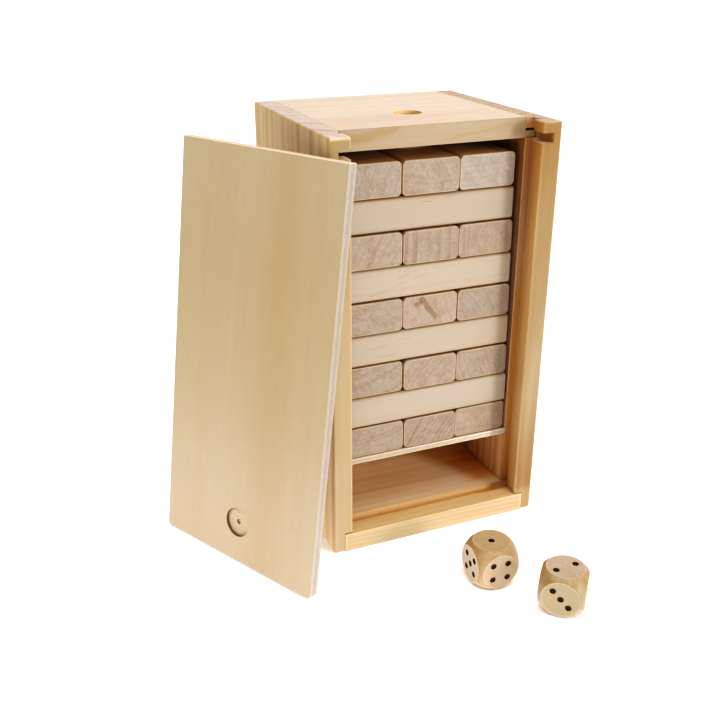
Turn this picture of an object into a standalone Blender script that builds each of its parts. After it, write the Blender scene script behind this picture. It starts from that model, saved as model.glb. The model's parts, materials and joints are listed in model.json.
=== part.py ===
"""A boxed tumbling-tower game: a wooden case open at the front, twenty-seven blocks
stacked three by three in nine crossed layers on a shelf, a sliding plywood lid that
leans on the case, and two round-cornered dice.

Frame: origin at the centre of the case's underside, +X to the right of the open
front, +Y towards the back, +Z up.  Lengths are in metres.
"""
import math
import random

import bmesh
import bpy
from mathutils import Matrix, Vector

# ---------------------------------------------------------------- driving dimensions
GAP = 0.0003                     # clearance left between two pieces that touch

CASE_W = 0.0962                  # outside width, X
CASE_D = 0.0936                  # outside depth, Y
CASE_H = 0.1750                  # outside height, Z
BOARD = 0.0084                   # thickness of the side and bottom boards
TOP_BOARD = 0.0081               # thickness of the top panel
PLY = 0.0042                     # thickness of the lid and back
SHELF_PLY = 0.0027               # thickness of the shelf

STRIP = 0.0071                   # front strip of a side, ahead of the lid groove
GROOVE_W = 0.0057                # lid groove, front to back
GROOVE_D = 0.0032                # depth of the lid groove in each side
FOOT_GROOVE_D = 0.0036           # depth of the lid groove in the bottom panel

RABBET = 0.0037                  # step in each side that holds the bottom panel
DADO_D = 0.0049                  # slot near the top of each side, across its depth
DADO_H = 0.0037                  # height of that slot
TONGUE_H = 0.0024                # height of the top panel's tongue, which lies low in it
BACK_RABBET = 0.0040             # step in each side, up to the top panel, that holds the back
SHELF_DADO = 0.0015              # slot in each side that holds the shelf
SHELF_TOP = 0.0362               # height of the shelf's upper face

HOLE_R = 0.0059                  # round hole in the top panel
HOLE_X = 0.0012
HOLE_Y = -0.0055

BLOCK_W = 0.0247
BLOCK_H = 0.01365
BLOCK_L = 3 * BLOCK_W + 2 * GAP  # three blocks side by side make a square layer
BLOCK_ROUND = 0.0018             # rounding of the four long edges
BLOCK_EASE = 0.0004              # easing of the edges around each end
LAYERS = 9
STACK_FRONT = 0.0003             # stack's front behind the lid groove
STACK_PLAY = 0.0008              # how unevenly blocks sit, front to back
FOOT_CLEARANCE = 0.0005          # bottom layer's gap to the right side
STACK_LEAN = 0.0028              # how far the top layer sits left of the bottom one

LID_W = 0.0850
LID_H = 0.1701
LID_CORNERS = (0.0010, 0.0024, 0.0006, 0.0006)   # foot left, foot right, head right, head left
LID_CORNER_STEPS = 3
LID_LEAN = math.radians(8.75)    # from upright
LID_TURN = math.radians(-61.5)   # direction of the lid's foot, left end to right end
LID_REACH = 0.0721               # along the lid's foot, left end to the case's edge
RECESS_R = 0.0062                # finger recess
RECESS_UP = 0.0174               # its centre above the lid's foot
RECESS_DEPTH = 0.0013

DIE_EDGE = 0.0180
DIE_ROUND_R = 0.0118             # sphere that rounds the die's corners
PIP_R = 0.00125
PIP_DEPTH = 0.0005
PIP_PITCH = 0.0032
DIE_ONE_PLACE = (0.0047, -0.0856, 0.0)
DIE_ONE_TURN = math.radians(-2.8)
DIE_TWO_PLACE = (0.0226, -0.1116, 0.0)
DIE_TWO_TURN = math.radians(-42.1)

ROUND_SIDES = 32                 # facets of a large hole, and of a die's sphere around
PIP_SIDES = 10
SEAM_TURN = 0.1                  # keeps the sphere's seams clear of the cube's faces
SMOOTH_ANGLE = math.radians(35)

INNER_X = CASE_W / 2 - BOARD     # inner face of a side
FRONT_Y = -CASE_D / 2
LAND_Y = FRONT_Y + STRIP + GROOVE_W
BACK_Y = CASE_D / 2
BACK_INNER_Y = BACK_Y - PLY
TOP_UNDERSIDE = CASE_H - TOP_BOARD
OVERCUT = 0.002                  # how far a cutter passes a face it opens


# ---------------------------------------------------------------- helpers
def clear_scene():
    for old in list(bpy.data.objects):
        bpy.data.objects.remove(old, do_unlink=True)


def wood(name, colour, roughness):
    """A plain Principled wood in one colour."""
    made = bpy.data.materials.new(name)
    made.use_nodes = True
    shader = made.node_tree.nodes["Principled BSDF"]
    shader.inputs["Base Color"].default_value = (*colour, 1.0)
    shader.inputs["Roughness"].default_value = roughness
    shader.inputs["Metallic"].default_value = 0.0
    return made


def new_object(name, bm, finish=None):
    """Turn a bmesh into an object of the scene."""
    bmesh.ops.recalc_face_normals(bm, faces=bm.faces)
    mesh = bpy.data.meshes.new(name)
    bm.to_mesh(mesh)
    bm.free()
    made = bpy.data.objects.new(name, mesh)
    bpy.context.scene.collection.objects.link(made)
    if finish is not None:
        mesh.materials.append(finish)
    return made


def box_bmesh(low, high):
    bm = bmesh.new()
    bmesh.ops.create_cube(bm, size=1.0)
    low, high = Vector(low), Vector(high)
    bmesh.ops.scale(bm, vec=high - low, verts=bm.verts)
    bmesh.ops.translate(bm, vec=(low + high) / 2, verts=bm.verts)
    return bm


def box(name, low, high, finish=None):
    return new_object(name, box_bmesh(low, high), finish)


def prism(name, outline, depth, finish=None):
    """Extrude a closed outline of 3-D points along the vector depth."""
    bm = bmesh.new()
    face = bm.faces.new([bm.verts.new(point) for point in outline])
    swept = bmesh.ops.extrude_face_region(bm, geom=[face])
    moved = [item for item in swept["geom"] if isinstance(item, bmesh.types.BMVert)]
    bmesh.ops.translate(bm, vec=depth, verts=moved)
    return new_object(name, bm, finish)


def cut(target, cutter, operation="DIFFERENCE"):
    """Cut target with cutter, and keep the cutter as a hidden guide."""
    cutter.hide_render = True
    cutter.display_type = "WIRE"
    modifier = target.modifiers.new(cutter.name, "BOOLEAN")
    modifier.operation = operation
    modifier.solver = "EXACT"
    modifier.object = cutter


def round_smooth(mesh):
    """Shade a mesh smooth, with its corners kept sharp."""
    mesh.shade_smooth()
    mesh.set_sharp_from_angle(angle=SMOOTH_ANGLE)


# ---------------------------------------------------------------- the case
def side(name, hand, finish):
    """A side board; hand is -1 for the left one and +1 for the right one."""
    outer = hand * CASE_W / 2
    inner = hand * INNER_X
    groove = hand * (INNER_X + GROOVE_D)
    groove_front = FRONT_Y + STRIP
    plan = [(outer, FRONT_Y), (inner, FRONT_Y), (inner, groove_front), (groove, groove_front),
            (groove, LAND_Y), (inner, LAND_Y), (inner, BACK_Y), (outer, BACK_Y)]
    board = prism(name, [(x, y, 0.0) for x, y in plan], (0.0, 0.0, CASE_H), finish)

    def slot(label, depth, low_z, high_z, low_y, high_y):
        near = hand * (INNER_X - OVERCUT)
        far = hand * (INNER_X + depth)
        cut(board, box(f"{name}_{label}_cutter", (min(near, far), low_y, low_z),
                       (max(near, far), high_y, high_z)))

    front, back = FRONT_Y - OVERCUT, BACK_Y + OVERCUT
    slot("foot", RABBET, -OVERCUT, BOARD + GAP, front, back)
    slot("dado", DADO_D, TOP_UNDERSIDE, TOP_UNDERSIDE + DADO_H, front, back)
    slot("shelf", SHELF_DADO, SHELF_TOP - SHELF_PLY - GAP, SHELF_TOP + GAP, LAND_Y - OVERCUT, back)
    slot("back", BACK_RABBET, -OVERCUT, TOP_UNDERSIDE + GAP, BACK_INNER_Y - GAP, back)
    return board


def top_panel(finish):
    """Board between the sides, with a tongue along each end and a round hole."""
    body = INNER_X - GAP
    tongue = INNER_X + DADO_D - GAP
    low = TOP_UNDERSIDE + GAP
    high = low + TONGUE_H
    section = [(-body, TOP_UNDERSIDE), (body, TOP_UNDERSIDE), (body, low), (tongue, low),
               (tongue, high), (body, high), (body, CASE_H), (-body, CASE_H),
               (-body, high), (-tongue, high), (-tongue, low), (-body, low)]
    panel = prism("top_panel", [(x, LAND_Y, z) for x, z in section],
                  (0.0, BACK_Y - LAND_Y, 0.0), finish)
    bm = bmesh.new()
    bmesh.ops.create_cone(bm, cap_ends=True, segments=ROUND_SIDES, radius1=HOLE_R, radius2=HOLE_R,
                          depth=2 * TOP_BOARD,
                          matrix=Matrix.Translation((HOLE_X, HOLE_Y, CASE_H - TOP_BOARD / 2)))
    cut(panel, new_object("top_hole_cutter", bm))
    round_smooth(panel.data)
    return panel


def bottom_panel(finish):
    """Board let into the sides' feet, with a cross groove for the lid's foot."""
    reach = INNER_X + RABBET - GAP
    panel = box("bottom_panel", (-reach, FRONT_Y, 0.0), (reach, BACK_INNER_Y - GAP, BOARD), finish)
    across = CASE_W / 2
    cut(panel, box("foot_groove_cutter", (-across, FRONT_Y + STRIP, BOARD - FOOT_GROOVE_D),
                   (across, LAND_Y, BOARD + OVERCUT)))
    return panel


def back_panel(finish):
    reach = INNER_X + BACK_RABBET - GAP
    return box("back_panel", (-reach, BACK_INNER_Y, 0.0), (reach, BACK_Y, TOP_UNDERSIDE - GAP), finish)


def shelf(finish):
    reach = INNER_X + SHELF_DADO - GAP
    return box("shelf", (-reach, LAND_Y + GAP, SHELF_TOP - SHELF_PLY),
               (reach, BACK_INNER_Y - GAP, SHELF_TOP), finish)


# ---------------------------------------------------------------- the blocks
def block_mesh(finish):
    """One block along Y, centred on its own origin, with softened edges."""
    bm = box_bmesh((-BLOCK_W / 2, -BLOCK_L / 2, -BLOCK_H / 2), (BLOCK_W / 2, BLOCK_L / 2, BLOCK_H / 2))
    long_edges = [edge for edge in bm.edges
                  if abs(edge.verts[0].co.y - edge.verts[1].co.y) > BLOCK_L / 2]
    bmesh.ops.bevel(bm, geom=long_edges, offset=BLOCK_ROUND, segments=3, profile=0.5, affect="EDGES")
    end_edges = [edge for edge in bm.edges
                 if all(abs(abs(vert.co.y) - BLOCK_L / 2) < GAP / 10 for vert in edge.verts)]
    bmesh.ops.bevel(bm, geom=end_edges, offset=BLOCK_EASE, segments=1, profile=0.5, affect="EDGES")
    bmesh.ops.recalc_face_normals(bm, faces=bm.faces)
    mesh = bpy.data.meshes.new("block")
    bm.to_mesh(mesh)
    bm.free()
    mesh.materials.append(finish)
    round_smooth(mesh)
    return mesh


def stack(finish):
    """Nine crossed layers of three, leaning a little to the left as they go up."""
    mesh = block_mesh(finish)
    chance = random.Random(9)
    pitch = BLOCK_W + GAP
    first_y = LAND_Y + STACK_FRONT
    for layer in range(1, LAYERS + 1):
        z = SHELF_TOP + GAP + (layer - 1) * (BLOCK_H + GAP) + BLOCK_H / 2
        lean = STACK_LEAN * (layer - 1) / (LAYERS - 1)
        middle_x = INNER_X - FOOT_CLEARANCE - BLOCK_L / 2 - lean
        end_on = layer % 2 == 1
        set_back = chance.uniform(0.0, STACK_PLAY)
        for row, place in enumerate(("left", "middle", "right") if end_on else ("front", "middle", "rear")):
            block = bpy.data.objects.new(f"block_{layer}_{place}", mesh)
            bpy.context.scene.collection.objects.link(block)
            if end_on:
                set_back = chance.uniform(0.0, STACK_PLAY)
                block.location = (middle_x + (row - 1) * pitch, first_y + set_back + BLOCK_L / 2, z)
            else:
                block.location = (middle_x, first_y + set_back + BLOCK_W / 2 + row * pitch, z)
                block.rotation_euler = (0.0, 0.0, math.pi / 2)


# ---------------------------------------------------------------- the lid
def lid(finish):
    """Plywood lid on its foot, its top back edge against the case's front left edge.

    The lid is drawn with its foot along local X, its height along local Z and its
    outer face at local Y = 0, so its origin lies on the edge that it tips over.
    """
    corners = ((0.0, 0.0), (LID_W, 0.0), (LID_W, LID_H), (0.0, LID_H))
    outline = []
    for quarter, ((x, z), radius) in enumerate(zip(corners, LID_CORNERS)):
        inward = Vector((-1.0 if x else 1.0, -1.0 if z else 1.0))
        centre = Vector((x, z)) + inward * radius
        for step in range(LID_CORNER_STEPS + 1):
            angle = math.pi + (quarter + step / LID_CORNER_STEPS) * math.pi / 2
            outline.append((centre.x + radius * math.cos(angle), 0.0,
                            centre.y + radius * math.sin(angle)))
    made = prism("lid", outline, (0.0, PLY, 0.0), finish)
    bm = bmesh.new()
    bmesh.ops.create_cone(bm, cap_ends=True, segments=ROUND_SIDES, radius1=RECESS_R,
                          radius2=RECESS_R, depth=2 * RECESS_DEPTH,
                          matrix=Matrix.Translation((LID_W / 2, 0.0, RECESS_UP))
                          @ Matrix.Rotation(math.pi / 2, 4, "X"))
    cutter = new_object("lid_recess_cutter", bm)
    cut(made, cutter)
    along = Vector((math.cos(LID_TURN), math.sin(LID_TURN), 0.0))
    outward = Vector((math.sin(LID_TURN), -math.cos(LID_TURN), 0.0))
    stand_off = LID_H * math.sin(LID_LEAN) + PLY * math.cos(LID_LEAN) + GAP
    case_edge = Vector((-CASE_W / 2, FRONT_Y, 0.0))
    foot = case_edge + outward * stand_off - along * LID_REACH
    foot.z = PLY * math.sin(LID_LEAN)
    place = (Matrix.Translation(foot) @ Matrix.Rotation(LID_TURN, 4, "Z")
             @ Matrix.Rotation(-LID_LEAN, 4, "X"))
    made.matrix_world = place
    cutter.matrix_world = place
    round_smooth(made.data)
    return made


# ---------------------------------------------------------------- the dice
PIP_PATTERNS = {
    1: [(0, 0)],
    2: [(-1, -1), (1, 1)],
    3: [(-1, 1), (0, 0), (1, -1)],
    4: [(-1, -1), (1, -1), (-1, 1), (1, 1)],
    5: [(-1, -1), (1, -1), (0, 0), (-1, 1), (1, 1)],
    6: [(-1, -1), (1, -1), (-1, 0), (1, 0), (-1, 1), (1, 1)],
}
# each face's outward direction, and its directions across and up
FACES = {
    "top": ((0, 0, 1), (1, 0, 0), (0, 1, 0)),
    "bottom": ((0, 0, -1), (1, 0, 0), (0, -1, 0)),
    "front": ((0, -1, 0), (1, 0, 0), (0, 0, 1)),
    "back": ((0, 1, 0), (-1, 0, 0), (0, 0, 1)),
    "left": ((-1, 0, 0), (0, -1, 0), (0, 0, 1)),
    "right": ((1, 0, 0), (0, 1, 0), (0, 0, 1)),
}


def die(name, centre, turn, tip, values, finish):
    """A cube rounded by a sphere, with drilled pips.

    centre is the die's place on the table, turn its angle about Z, tip the local
    direction it rolls over to, and values the number on each face.  Its origin is
    on the bottom edge that it rolls over.
    """
    half = DIE_EDGE / 2
    middle = Vector((0.0, 0.0, half)) - Vector(tip) * half
    made = box(name, middle - Vector((half,) * 3), middle + Vector((half,) * 3), finish)
    bm = bmesh.new()
    bmesh.ops.create_uvsphere(bm, u_segments=ROUND_SIDES, v_segments=ROUND_SIDES // 2, radius=DIE_ROUND_R,
                              matrix=Matrix.Translation(middle) @ Matrix.Rotation(SEAM_TURN, 4, "Z"))
    rounding = new_object(f"{name}_rounding", bm)
    bm = bmesh.new()
    for face, value in values.items():
        out, across, up = (Vector(direction) for direction in FACES[face])
        basis = Matrix((across, up, out)).transposed().to_4x4()
        for column, line in PIP_PATTERNS[value]:
            spot = middle + out * half + (across * column + up * line) * PIP_PITCH
            bmesh.ops.create_cone(bm, cap_ends=True, segments=PIP_SIDES, radius1=PIP_R, radius2=PIP_R,
                                  depth=2 * PIP_DEPTH, matrix=Matrix.Translation(spot) @ basis)
    pips = new_object(f"{name}_pips", bm)
    cut(made, rounding, "INTERSECT")
    cut(made, pips)
    spin = Matrix.Rotation(turn, 4, "Z")
    place = Matrix.Translation(Vector(centre) + spin @ (Vector(tip) * half)) @ spin
    for item in (made, rounding, pips):
        item.matrix_world = place
    round_smooth(made.data)
    return made


# ---------------------------------------------------------------- the whole set
def build():
    clear_scene()
    pine = wood("pine_side", (0.72, 0.49, 0.26), 0.55)
    side("left_side", -1, pine)
    side("right_side", 1, wood("pine_side_golden", (0.70, 0.45, 0.22), 0.55))
    top_panel(wood("pine_top", (0.83, 0.66, 0.46), 0.55))
    bottom_panel(wood("pine_bottom", (0.78, 0.56, 0.30), 0.55))
    back_panel(wood("back_plywood", (0.76, 0.62, 0.42), 0.60))
    shelf(wood("shelf_plywood", (0.72, 0.58, 0.40), 0.60))
    stack(wood("block_wood", (0.74, 0.58, 0.42), 0.60))
    lid(wood("lid_plywood", (0.74, 0.58, 0.36), 0.55))
    dice_wood = wood("dice_wood", (0.66, 0.46, 0.27), 0.35)
    die("die_one", DIE_ONE_PLACE, DIE_ONE_TURN, (1, 0, 0),
        {"top": 1, "bottom": 6, "front": 4, "back": 3, "left": 5, "right": 2}, dice_wood)
    die("die_two", DIE_TWO_PLACE, DIE_TWO_TURN, (0, -1, 0),
        {"top": 2, "bottom": 5, "front": 3, "back": 4, "left": 6, "right": 1}, dice_wood)


build()
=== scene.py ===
"""Finished look of a boxed tumbling-tower game: pine case, twenty-seven beech-pale blocks,
plywood lid and two wooden dice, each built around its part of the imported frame.

Lengths are in metres, in the frame's own axes: +X right of the open front, +Y back, +Z up.
"""
import json
import math
import random

import bmesh
import bpy
from mathutils import Matrix, Vector

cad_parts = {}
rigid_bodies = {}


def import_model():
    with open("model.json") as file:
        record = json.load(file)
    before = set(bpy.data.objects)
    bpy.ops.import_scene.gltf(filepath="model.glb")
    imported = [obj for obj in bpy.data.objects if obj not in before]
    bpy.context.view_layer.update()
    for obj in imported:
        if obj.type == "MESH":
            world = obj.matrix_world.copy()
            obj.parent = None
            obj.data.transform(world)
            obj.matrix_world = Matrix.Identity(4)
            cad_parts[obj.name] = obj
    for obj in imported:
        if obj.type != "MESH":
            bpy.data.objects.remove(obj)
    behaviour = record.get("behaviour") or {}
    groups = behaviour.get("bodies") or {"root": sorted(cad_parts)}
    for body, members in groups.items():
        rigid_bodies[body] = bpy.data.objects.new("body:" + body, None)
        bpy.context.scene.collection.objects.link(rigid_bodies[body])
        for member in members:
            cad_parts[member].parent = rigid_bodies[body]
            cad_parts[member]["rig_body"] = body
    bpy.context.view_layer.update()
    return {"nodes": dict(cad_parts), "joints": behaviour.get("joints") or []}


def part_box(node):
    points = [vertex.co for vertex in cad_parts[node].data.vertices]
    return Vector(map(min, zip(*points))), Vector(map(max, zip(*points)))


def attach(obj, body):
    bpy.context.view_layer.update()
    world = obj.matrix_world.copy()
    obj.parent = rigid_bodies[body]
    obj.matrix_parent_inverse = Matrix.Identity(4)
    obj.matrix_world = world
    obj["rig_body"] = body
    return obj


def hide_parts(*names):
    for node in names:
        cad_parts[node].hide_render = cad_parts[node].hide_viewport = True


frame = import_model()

# ---- camera and light
CAMERA_PLACE = (-0.1607, -0.3489, 0.2339)
CAMERA_AZIMUTH = math.radians(22.34)     # turned from +Y towards +X
CAMERA_DIP = math.radians(24.0)          # below the horizon
CAMERA_LENS = 45.7                       # millimetres
CAMERA_SENSOR = 36.0                     # width in millimetres
FLOOR_SIZE = 60.0
FLOOR_DROP = 0.0002                      # keeps the paper clear of what stands on it
FLOOR_WHITE = 0.95
WHITE = (1.0, 1.0, 1.0, 1.0)
SKY_HORIZON = 0.12                       # light from the studio's walls
SKY_ZENITH = 0.62                        # and from its white ceiling
SKY_POWER = 2.0                          # how late the one turns into the other
CEILING_SUN = 2.60                       # even light from above, slightly from the front
CEILING_TILT = math.radians(7)
CEILING_SPREAD = math.radians(70)
KEY_SOFTBOX_PLACE = (0.76, -1.38, 0.95)  # 29 degrees to the right of the front
KEY_SOFTBOX_SIZE = 0.3
KEY_SOFTBOX_POWER = 3.0
KEY_SOFTBOX_AIM = (0.0, 0.0, 0.08)
LOW_CARD_PLACE = (0.72, -1.28, 0.44)     # white card low in front, reaches into the case
LOW_CARD_SIZE = 0.25
LOW_CARD_POWER = 9.8
LEFT_CARD_PLACE = (-1.35, -0.75, 0.45)   # white card that fills the shadows from the left
LEFT_CARD_SIZE = 0.9
LEFT_CARD_POWER = 2.2
CARD_AIM = (0.0, 0.0, 0.05)
TABLE_GLOW_PLACE = (0.0, -0.03, 0.0002)  # bright patch of the white table around the object
TABLE_GLOW_SIZE = 0.75
TABLE_GLOW = 0.95                        # its brightness, beside a white card in the same light
TABLE_SHINE = 0.14                       # light table under the white paper
# how a camera renders light: deep shadows, and highlights that reach white early
TONE_CURVE = ((0.03, 0.010), (0.07, 0.032), (0.14, 0.090), (0.23, 0.185), (0.40, 0.405), (0.62, 0.68),
              (0.76, 0.875), (0.84, 0.990), (0.92, 1.0))
WARM_SHADOWS = ((0.02, 0.024), (0.06, 0.070), (0.14, 0.155), (0.30, 0.308))              # red
COOL_LOSS = ((0.01, 0.006), (0.03, 0.021), (0.08, 0.066), (0.20, 0.188), (0.40, 0.393))   # blue

# ---- edges and zones
FAR = 1.0                                # past everything
ALL = (-FAR, FAR)
FADE = (0.0001, 0.0001, 0.0001)          # soft border of a tinted zone
SKIN = 0.0005                            # how deep a zone on a face reaches into the wood
SKIN_FADE = 0.0004                       # soft border of such a zone
NUDGE = 0.0001                           # a hair past a plane
CASE_ARRIS = 0.0009                      # rounding of the case's outer edges
EDGE_SHARE = 0.4                         # inner edges, as a share of it
WORN_SHARE = 0.45                        # and it, as a share of a corner worn by handling
SEAM_SHARE = 0.10                        # edges of two boards glued flush
GLUE_GAP = 0.0003                        # gap that the frame keeps between two glued boards
GLUE_LINE = 0.00008                      # what shows of it
SHEET_ARRIS = 0.0003                     # rounding of the plywood in the case
PLANE_TOLERANCE = 0.00002
SMOOTH_ANGLE = math.radians(40)          # flatter edges than this are shaded smooth
DICE_SMOOTH_ANGLE = math.radians(32)
ROUNDED_ANGLE = math.radians(25)         # sharper edges than this are rounded
GROOVE = (-0.0397, -0.0340)              # the lid groove, from front to back
GROOVE_DEPTH = 0.0034
FACE_REACH = 0.0003                      # how deep a zone on an inner face reaches into the wood
TOP_HOLE = (0.0012, -0.0055, 0.0059)     # place and radius of the hole in the top

BLOCK_ROUND = 0.0018
BLOCK_EASE = 0.0004
BLOCK_RIM = 0.0006                       # pale sanded rim around a block's faces

LID_EASE = 0.00035
LID_CORNERS = (0.0010, 0.0024, 0.0006, 0.0006)   # foot left, foot right, head right, head left
CORNER_STEPS = 8
EASE_STEPS = 3
RECESS_STEPS = 64

PIP_R = 0.00125
PIP_DEPTH = 0.0005
PIP_PITCH = 0.0032
PIP_SIDES = 32
RIM_EASE = 0.00028                       # easing of a die's rims: along the flat,
RIM_DROP = 0.22                          # down its side and inwards, as shares of it
RIM_DRAW = 0.10


# ---- materials
PLAIN = (1.0, 1.0, 1.0)                  # factor that changes nothing
# noise in the wood, in turns per metre across the grain and along it
DRIFT = (28.0, 5.0)                      # wandering of the rings
CLOUDS = (45.0, 14.0)                    # broad warmer patches
STREAK_GRAIN = (330.0, 5.0)              # darker streaks
BUNDLES = (620.0, 16.0)                  # bundles of fibres
FIBRES = (2300.0, 75.0)
GRIT = 2700.0                            # open ends of the fibres
MOTTLE = 780.0                           # unevenness of a cut end
PATCHES = 190.0                          # darker patches of a cut end
SAW_MARKS = (520.0, 2300.0)              # along a mark of the saw and across it
GRAIN_DEPTH = 0.0001
# and in plywood
SHEET_CLOUDS = (55.0, 4.5)
SHEET_STRIPES = (420.0, 6.0)
SHEET_FIBRES = (2400.0, 60.0)
SHEET_BLOTCHES = (330.0, 120.0)
SHEET_GRAIN_DEPTH = 0.00008


def shade(red, green, blue):
    """Linear colour from 8-bit display values."""
    return tuple((c / 255 / 12.92) if c <= 10 else ((c / 255 + 0.055) / 1.055) ** 2.4
                 for c in (red, green, blue))


class Finish:
    """A material whose node tree is written as expressions of sockets and numbers."""

    def __init__(self, name):
        self.material = bpy.data.materials.new(name)
        self.material.use_nodes = True
        self.tree = self.material.node_tree
        self.shader = self.tree.nodes["Principled BSDF"]
        place = self.node("ShaderNodeTexCoord")
        self.point = place.outputs["Object"]
        self.normal = place.outputs["Normal"]

    def node(self, kind, **settings):
        made = self.tree.nodes.new(kind)
        for key, value in settings.items():
            setattr(made, key, value)
        return made

    def feed(self, socket, value):
        if isinstance(value, bpy.types.NodeSocket):
            self.tree.links.new(value, socket)
        elif socket.type == "RGBA" and len(value) == 3:
            socket.default_value = (*value, 1.0)
        else:
            socket.default_value = value

    def math(self, operation, *values, clamp=False):
        made = self.node("ShaderNodeMath", operation=operation, use_clamp=clamp)
        for socket, value in zip(made.inputs, values):
            self.feed(socket, value)
        return made.outputs[0]

    def plus(self, *values, clamp=False):
        return self.math("ADD", *values, clamp=clamp)

    def minus(self, *values):
        return self.math("SUBTRACT", *values)

    def times(self, *values):
        return self.math("MULTIPLY", *values)

    def vector(self, operation, *values):
        made = self.node("ShaderNodeVectorMath", operation=operation)
        for socket, value in zip(made.inputs, values):
            self.feed(socket, value)
        return made.outputs["Value" if operation in ("LENGTH", "DOT_PRODUCT") else "Vector"]

    def scaled(self, vector, factor):
        made = self.node("ShaderNodeVectorMath", operation="SCALE")
        self.feed(made.inputs[0], vector)
        self.feed(made.inputs["Scale"], factor)
        return made.outputs["Vector"]

    def split(self, vector):
        made = self.node("ShaderNodeSeparateXYZ")
        self.feed(made.inputs[0], vector)
        return list(made.outputs)

    def joined(self, x, y, z):
        made = self.node("ShaderNodeCombineXYZ")
        for socket, value in zip(made.inputs, (x, y, z)):
            self.feed(socket, value)
        return made.outputs[0]

    def noise(self, vector, detail=2.0, roughness=0.5, output="Fac"):
        made = self.node("ShaderNodeTexNoise")
        self.feed(made.inputs["Vector"], vector)
        made.inputs["Scale"].default_value = 1.0
        made.inputs["Detail"].default_value = detail
        made.inputs["Roughness"].default_value = roughness
        return made.outputs[output]

    def chance(self, value):
        made = self.node("ShaderNodeTexWhiteNoise", noise_dimensions="1D")
        self.feed(made.inputs["W"], value)
        return made.outputs["Value"]

    def ease(self, value, low, high, start=0.0, end=1.0):
        """Smooth step from start to end as value goes from low to high."""
        made = self.node("ShaderNodeMapRange", interpolation_type="SMOOTHSTEP")
        for key, given in (("Value", value), ("From Min", low), ("From Max", high),
                           ("To Min", start), ("To Max", end)):
            self.feed(made.inputs[key], given)
        return made.outputs["Result"]

    def mix(self, share, first, second):
        made = self.node("ShaderNodeMix", data_type="RGBA")
        self.feed(made.inputs["Factor"], share)
        for key, value in (("A_Color", first), ("B_Color", second)):
            self.feed(next(s for s in made.inputs if s.identifier == key), value)
        return next(s for s in made.outputs if s.identifier == "Result_Color")

    def tint(self, colour, share, factor):
        """Colour times a factor, where share is 1."""
        return self.vector("MULTIPLY", colour, self.mix(share, PLAIN, factor))

    def swing(self, value, span, middle=0.0):
        """A value from 0 to 1 turned into one that swings about the middle by the span."""
        return self.math("MULTIPLY_ADD", value, span, middle - span / 2)

    def bump(self, height, depth, strength):
        made = self.node("ShaderNodeBump")
        made.inputs["Distance"].default_value = depth
        made.inputs["Strength"].default_value = strength
        self.feed(made.inputs["Height"], height)
        return made.outputs["Normal"]

    def finish(self, colour, roughness, normal=None, specular=0.5):
        self.feed(self.shader.inputs["Base Color"], colour)
        self.feed(self.shader.inputs["Roughness"], roughness)
        if normal is not None:
            self.feed(self.shader.inputs["Normal"], normal)
        self.shader.inputs["Specular IOR Level"].default_value = specular
        return self.material


def edge_distance(g, centre, half):
    """Distance of a point on a box's surface to the nearest edge of the box."""
    offset = g.vector("ABSOLUTE", g.vector("SUBTRACT", g.point, tuple(centre)))
    x, y, z = g.split(g.vector("SUBTRACT", tuple(half), offset))
    lowest = g.math("MINIMUM", g.math("MINIMUM", x, y), z)
    highest = g.math("MAXIMUM", g.math("MAXIMUM", x, y), z)
    total = g.plus(g.plus(x, y), z)
    return g.minus(g.minus(total, lowest), highest)


def zone(factor, x=ALL, y=ALL, z=ALL, fade=FADE):
    """Region between limits in x, y and z where the colour is multiplied by a factor."""
    return tuple(zip(x, y, z)), factor, fade


def tinted(g, colour, zones):
    """Colour with some zones in another tone."""
    for (low, high), factor, fade in zones:
        above, below = g.vector("SUBTRACT", g.point, low), g.vector("SUBTRACT", high, g.point)
        inside = g.vector("MINIMUM", above, below)
        x, y, z = g.split(g.vector("DIVIDE", inside, fade))
        depth = g.math("MINIMUM", g.math("MINIMUM", x, y), z)
        colour = g.tint(colour, g.ease(depth, 0.0, 1.0), factor)
    return colour


def streak(g, across, up, place, length, thickness, angle):
    """Mask of a short straight streak in the plane of two coordinates."""
    cosine, sine = math.cos(math.radians(angle)), math.sin(math.radians(angle))
    x = g.minus(across, place[0])
    y = g.minus(up, place[1])
    along = g.plus(g.times(x, cosine), g.times(y, sine))
    aside = g.minus(g.times(y, cosine), g.times(x, sine))
    past = g.math("MAXIMUM", g.minus(g.math("ABSOLUTE", along), length / 2), 0.0)
    away = g.vector("LENGTH", g.joined(past, aside, 0.0))
    ragged = g.noise(g.joined(g.times(along, 0.5 / thickness),
                              g.times(aside, 0.8 / thickness), 0.0), detail=3.0)
    edge = g.times(ragged, 1.4 * thickness)
    return g.ease(away, g.times(edge, 0.35), edge, 1.0, 0.0)


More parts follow.
